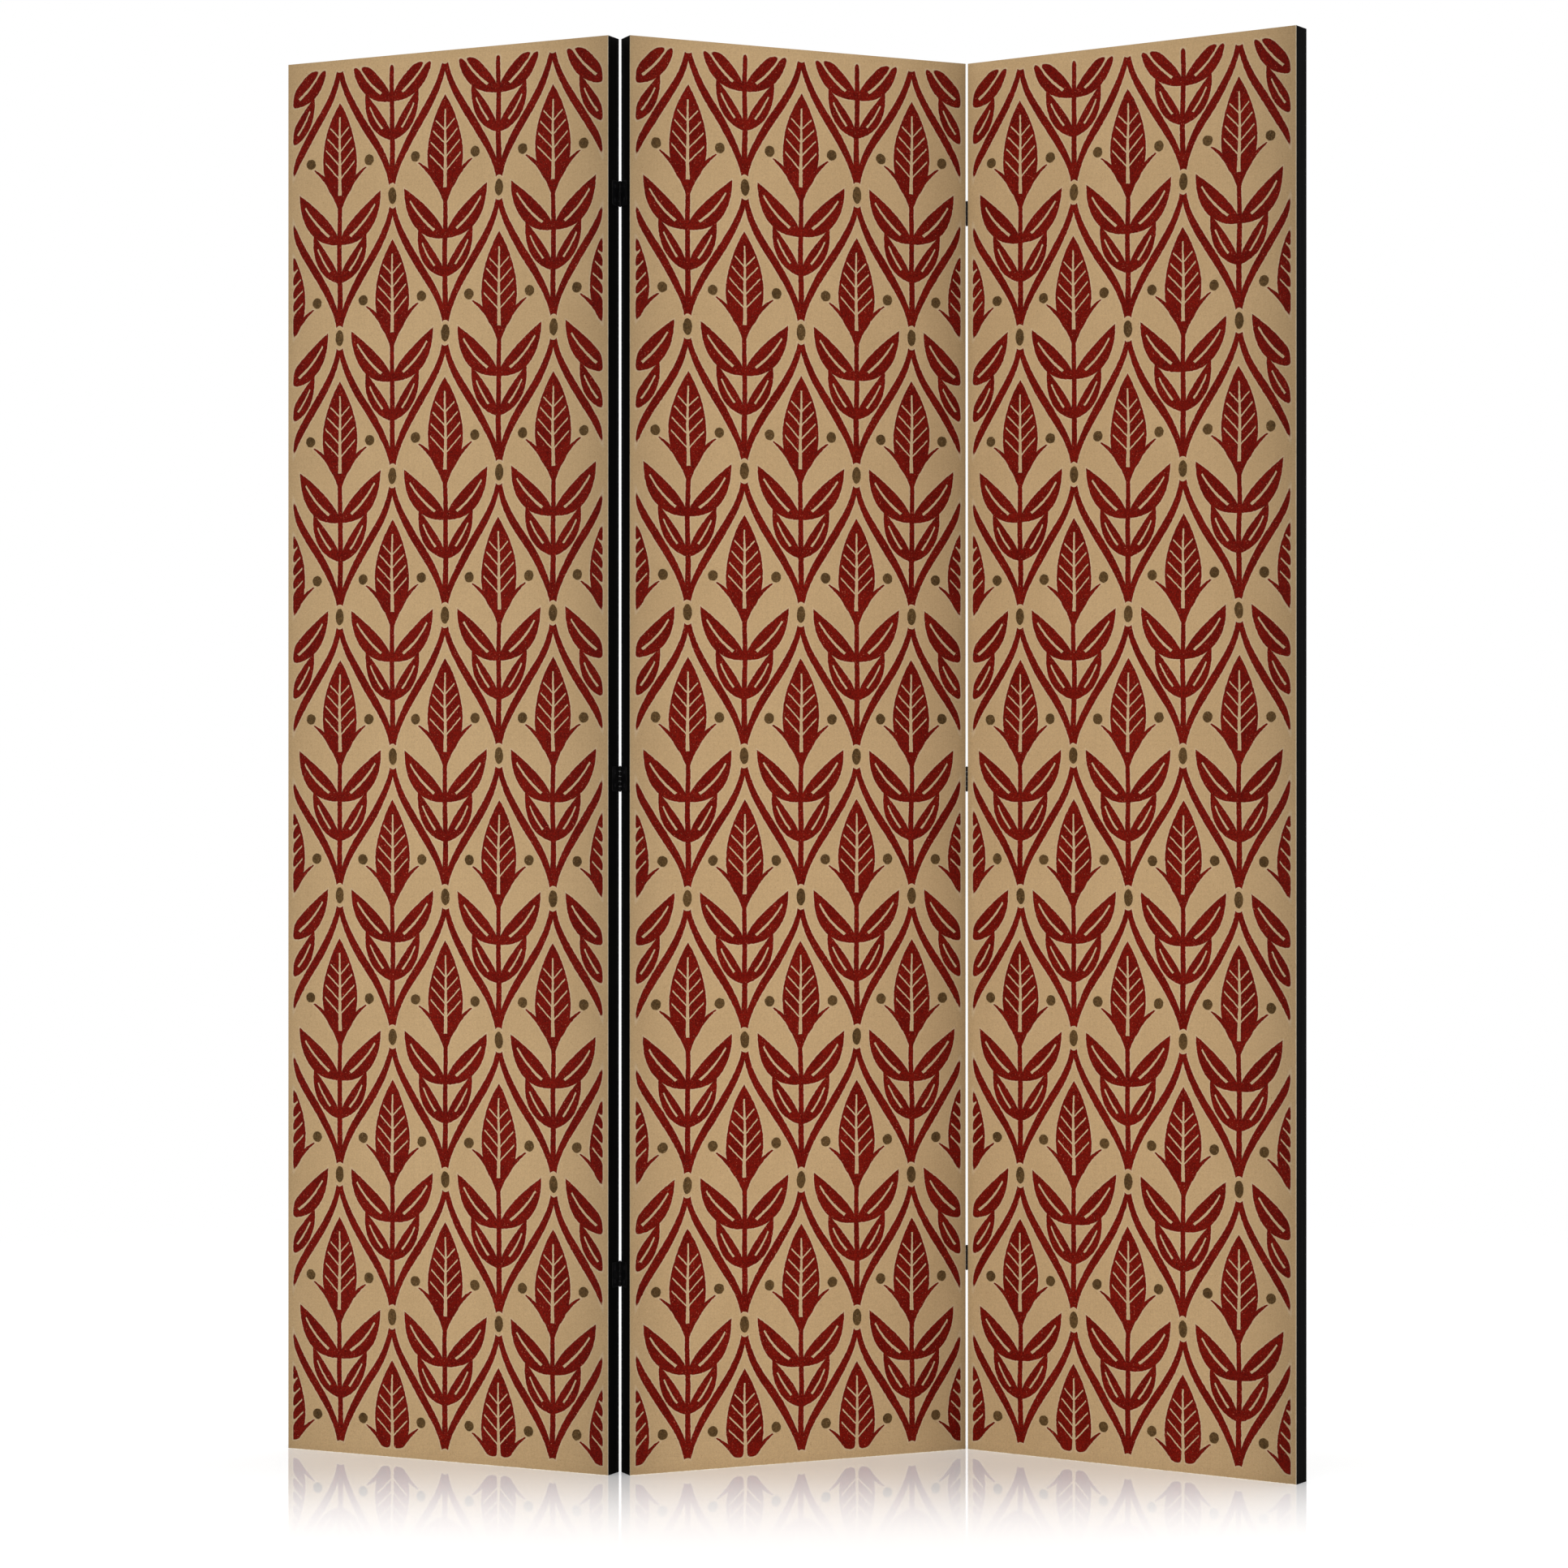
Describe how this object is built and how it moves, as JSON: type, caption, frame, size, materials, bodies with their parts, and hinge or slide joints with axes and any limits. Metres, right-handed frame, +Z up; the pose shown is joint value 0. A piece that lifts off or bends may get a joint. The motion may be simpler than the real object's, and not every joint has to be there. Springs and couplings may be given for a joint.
{
  "type": "folding screen",
  "caption": "Free-standing folding screen of flat printed canvas panels on black wooden frames, joined side to side by small pinned butt hinges so that it folds as a zigzag.",
  "frame": {"origin": "on the floor, at the middle of the box round the standing screen", "axes": "+Z up, the printed fronts face -Y, +X to the right of someone who faces the prints"},
  "size_m": [1.235, 0.281, 1.72],
  "materials": {
    "printed_canvas": "matte printed canvas, pale reverse",
    "black_frame": "black stained pine, satin",
    "beech_dowel": "plain beech",
    "black_hinge": "black enamel on steel",
    "black_screw": "black zinc"
  },
  "bodies": {
    "centre_panel": {"centre_panel_bottom_rail": "black_frame", "centre_panel_canvas": "printed_canvas", "centre_panel_dowels": "beech_dowel", "centre_panel_left_stile": "black_frame", "centre_panel_lower_cross_rail": "black_frame", "centre_panel_right_stile": "black_frame", "centre_panel_top_rail": "black_frame", "centre_panel_upper_cross_rail": "black_frame", "left_hinge_bottom_fixed_leaf": "black_hinge", "left_hinge_bottom_pin": "black_hinge", "left_hinge_fixed_screws": "black_screw", "left_hinge_middle_fixed_leaf": "black_hinge", "left_hinge_middle_pin": "black_hinge", "left_hinge_top_fixed_leaf": "black_hinge", "left_hinge_top_pin": "black_hinge", "right_hinge_bottom_fixed_leaf": "black_hinge", "right_hinge_bottom_pin": "black_hinge", "right_hinge_fixed_screws": "black_screw", "right_hinge_middle_fixed_leaf": "black_hinge", "right_hinge_middle_pin": "black_hinge", "right_hinge_top_fixed_leaf": "black_hinge", "right_hinge_top_pin": "black_hinge"},
    "left_panel": {"left_hinge_bottom_swing_leaf": "black_hinge", "left_hinge_middle_swing_leaf": "black_hinge", "left_hinge_swing_screws": "black_screw", "left_hinge_top_swing_leaf": "black_hinge", "left_panel_bottom_rail": "black_frame", "left_panel_canvas": "printed_canvas", "left_panel_dowels": "beech_dowel", "left_panel_left_stile": "black_frame", "left_panel_lower_cross_rail": "black_frame", "left_panel_right_stile": "black_frame", "left_panel_top_rail": "black_frame", "left_panel_upper_cross_rail": "black_frame"},
    "right_panel": {"right_hinge_bottom_swing_leaf": "black_hinge", "right_hinge_middle_swing_leaf": "black_hinge", "right_hinge_swing_screws": "black_screw", "right_hinge_top_swing_leaf": "black_hinge", "right_panel_bottom_rail": "black_frame", "right_panel_canvas": "printed_canvas", "right_panel_dowels": "beech_dowel", "right_panel_left_stile": "black_frame", "right_panel_lower_cross_rail": "black_frame", "right_panel_right_stile": "black_frame", "right_panel_top_rail": "black_frame", "right_panel_upper_cross_rail": "black_frame"}
  },
  "joints": [
    {"name": "left_fold", "type": "hinge", "parent": "centre_panel", "child": "left_panel", "pos_m": [-0.19797, -0.05334, 0], "axis": [0, 0, 1], "range_deg": [-130, 50]},
    {"name": "right_fold", "type": "hinge", "parent": "centre_panel", "child": "right_panel", "pos_m": [0.22573, 0.10833, 0], "axis": [0, 0, 1], "range_deg": [-122, 58]}
  ]
}
